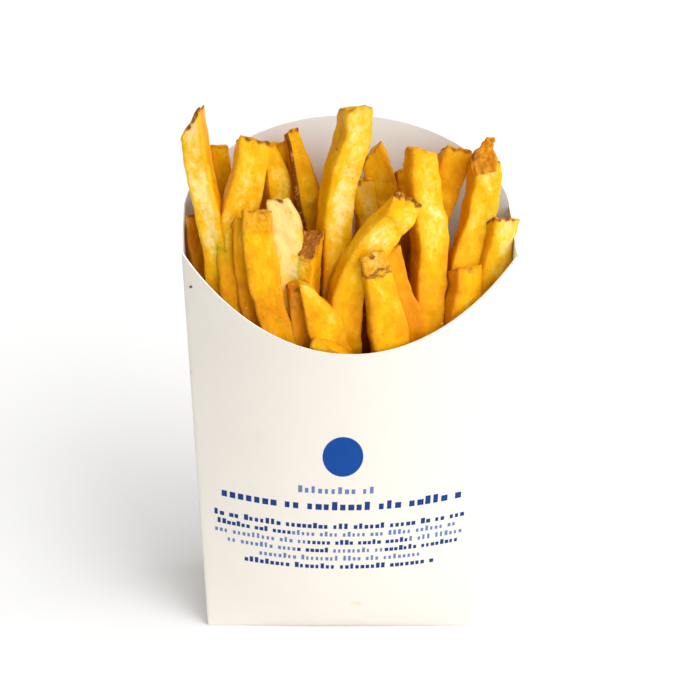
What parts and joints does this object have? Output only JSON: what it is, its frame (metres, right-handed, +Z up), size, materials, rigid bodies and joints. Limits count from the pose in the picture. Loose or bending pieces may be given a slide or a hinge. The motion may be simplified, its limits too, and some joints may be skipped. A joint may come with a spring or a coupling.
{
  "type": "french fries in a carton",
  "caption": "Folded board carton with a low curved lip and a tall arched back, heaped with thick french fries that stand out of its mouth.",
  "frame": {"origin": "middle of the carton's underside, on the surface it stands on", "axes": "+Z up, -Y the printed front with the low lip, +Y the tall arched back, +X to the right seen from the front"},
  "size_m": [0.1125, 0.062, 0.2022],
  "materials": {
    "white_board": "smooth white board with a soft sheen and small blue print on the front",
    "fried_potato": "golden fried potato, slightly oily, with brown skin at some ends"
  },
  "bodies": {
    "root": {"carton": "white_board", "fries": "fried_potato"}
  },
  "joints": []
}
